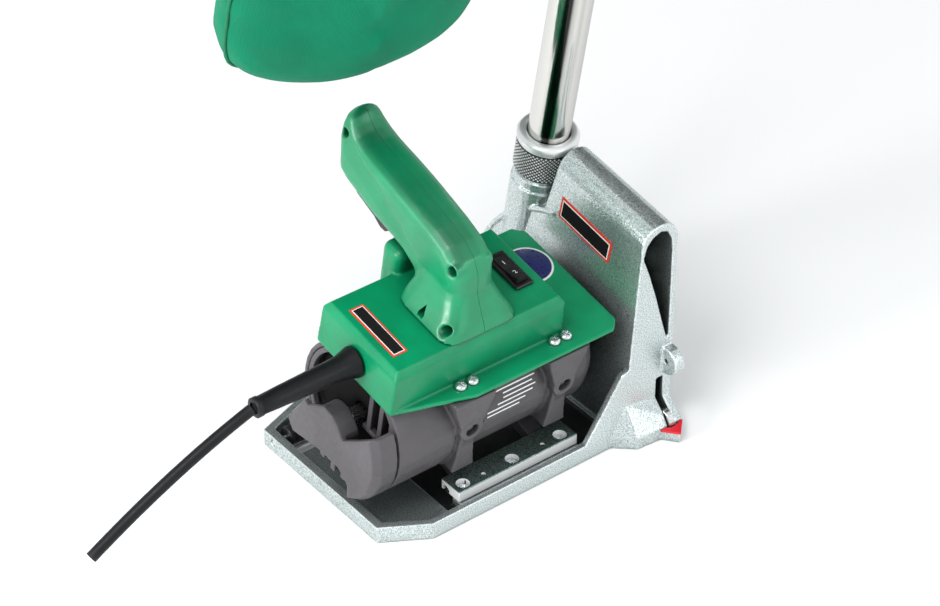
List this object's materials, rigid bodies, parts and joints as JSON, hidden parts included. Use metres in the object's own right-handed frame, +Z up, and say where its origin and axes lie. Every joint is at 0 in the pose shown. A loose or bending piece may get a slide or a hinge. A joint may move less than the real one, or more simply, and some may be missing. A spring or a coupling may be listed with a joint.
{
  "type": "hand-guided electric seam cutter for floors",
  "caption": "Hand-guided electric seam cutter for floors: motor unit with pistol grip hinged to a cast sole, enclosed saw blade, rollers, dust tube and fabric bag.",
  "frame": {"origin": "on the flat sole, below the middle of the hinge bar", "axes": "+X to the right along the motor shaft, towards the blade; +Y towards the rear of the machine; +Z up from the sole"},
  "size_m": [0.3543, 0.164, 0.5302],
  "materials": {
    "hammertone_casting": "silver hammertone enamel on a die casting",
    "bright_steel": "bright turned or zinc-plated steel",
    "dark_steel": "dark oxide finish",
    "chrome_tube": "polished plating",
    "green_fabric": "dense woven filter cloth",
    "grey_plastic": "fine moulded grain",
    "green_plastic": "satin moulded plastic",
    "black_plastic": "satin moulded plastic",
    "black_rubber": "matt rubber",
    "red_plastic": "satin moulded plastic",
    "copper": "turned copper segments"
  },
  "bodies": {
    "base": {"base_casting": "hammertone_casting", "blade_access_cover": "dark_steel", "access_screw_1": "bright_steel", "access_screw_2": "bright_steel", "access_screw_3": "bright_steel", "hinge_bar": "hammertone_casting", "hinge_bar_screw_1": "bright_steel", "hinge_bar_screw_2": "bright_steel", "hinge_bar_screw_3": "bright_steel", "dowel_pin_1": "bright_steel", "dowel_pin_2": "bright_steel", "hinge_shaft": "bright_steel", "rear_axle_left": "bright_steel", "rear_axle_right": "bright_steel", "guide_pin": "bright_steel", "cross_pin": "bright_steel", "pointer_plate": "red_plastic", "collet_ring": "black_plastic", "return_spring": "bright_steel"},
    "motor_unit": {"motor_housing": "grey_plastic", "end_cap": "grey_plastic", "stator": "dark_steel", "rear_bearing": "bright_steel", "drive_bearing": "bright_steel", "brush_holder_front": "black_plastic", "brush_holder_rear": "black_plastic", "housing_screw_1": "bright_steel", "housing_screw_2": "bright_steel", "motor_cover": "green_plastic", "cover_screw_1": "bright_steel", "cover_screw_2": "bright_steel", "cover_screw_3": "bright_steel", "cover_screw_4": "bright_steel", "handle_left": "green_plastic", "handle_right": "green_plastic", "handle_screw_1": "dark_steel", "handle_screw_2": "dark_steel", "handle_screw_3": "dark_steel", "switch_body": "black_plastic", "cable_boot": "black_rubber", "power_cable": "black_rubber"},
    "spindle": {"motor_shaft": "bright_steel", "armature_core": "dark_steel", "commutator": "copper", "cooling_fan": "black_plastic", "blade_flange": "bright_steel", "saw_blade": "bright_steel", "blade_nut": "bright_steel"},
    "left_rear_wheel": {"rear_roller_left": "black_rubber"},
    "right_rear_wheel": {"rear_roller_right": "black_rubber"},
    "front_guide_wheel": {"guide_roller": "bright_steel"},
    "depth_adjuster": {"depth_knob": "dark_steel"},
    "duct": {"dust_tube": "chrome_tube", "bag_clamp": "bright_steel", "dust_bag": "green_fabric"},
    "duct_nut": {"clamp_nut": "bright_steel"},
    "trigger_body": {"trigger": "black_plastic"},
    "lock_off": {"lock_button": "black_plastic"},
    "speed_dial": {"speed_rocker": "black_plastic"}
  },
  "joints": [
    {"name": "plunge", "type": "hinge", "parent": "base", "child": "motor_unit", "pos_m": [0, 0.012, 0.0085], "axis": [1, 0, 0], "range_deg": [-11.5, 0], "deforming": ["return_spring"]},
    {"name": "spindle_spin", "type": "hinge", "parent": "motor_unit", "child": "spindle", "pos_m": [0, 0.04682, 0.05581], "axis": [1, 0, 0], "continuous": true},
    {"name": "left_rear_wheel_spin", "type": "hinge", "parent": "base", "child": "left_rear_wheel", "pos_m": [-0.075, 0.105, 0.0063], "axis": [1, 0, 0], "continuous": true},
    {"name": "right_rear_wheel_spin", "type": "hinge", "parent": "base", "child": "right_rear_wheel", "pos_m": [0.051, 0.105, 0.0063], "axis": [1, 0, 0], "continuous": true},
    {"name": "guide_wheel_spin", "type": "hinge", "parent": "base", "child": "front_guide_wheel", "pos_m": [0.0938, -0.0139, 0.0074], "axis": [1, 0, 0], "continuous": true},
    {"name": "depth_knob_turn", "type": "hinge", "parent": "base", "child": "depth_adjuster", "pos_m": [0.009, 0.096, 0.0042], "axis": [0, 0, 1], "range_deg": [-180, 180]},
    {"name": "duct_swivel", "type": "hinge", "parent": "base", "child": "duct", "pos_m": [0.0885, 0.09084, 0.12622], "axis": [0, -0.1805, 0.9836], "range_deg": [-25, 25]},
    {"name": "duct_nut_turn", "type": "hinge", "parent": "base", "child": "duct_nut", "pos_m": [0.0885, 0.09084, 0.12622], "axis": [0, -0.1805, 0.9836], "range_deg": [-90, 90]},
    {"name": "trigger_pull", "type": "hinge", "parent": "motor_unit", "child": "trigger_body", "pos_m": [-0.021, 0.07809, 0.14858], "axis": [1, 0, 0], "range_deg": [0, 6]},
    {"name": "lock_button_push", "type": "slide", "parent": "motor_unit", "child": "lock_off", "axis": [0, -0.9836, -0.1805], "range_m": [0, 0.0025]},
    {"name": "speed_rocker_tilt", "type": "hinge", "parent": "motor_unit", "child": "speed_dial", "pos_m": [0.019, 0.03358, 0.11693], "axis": [1, 0, 0], "range_deg": [0, 11]}
  ]
}
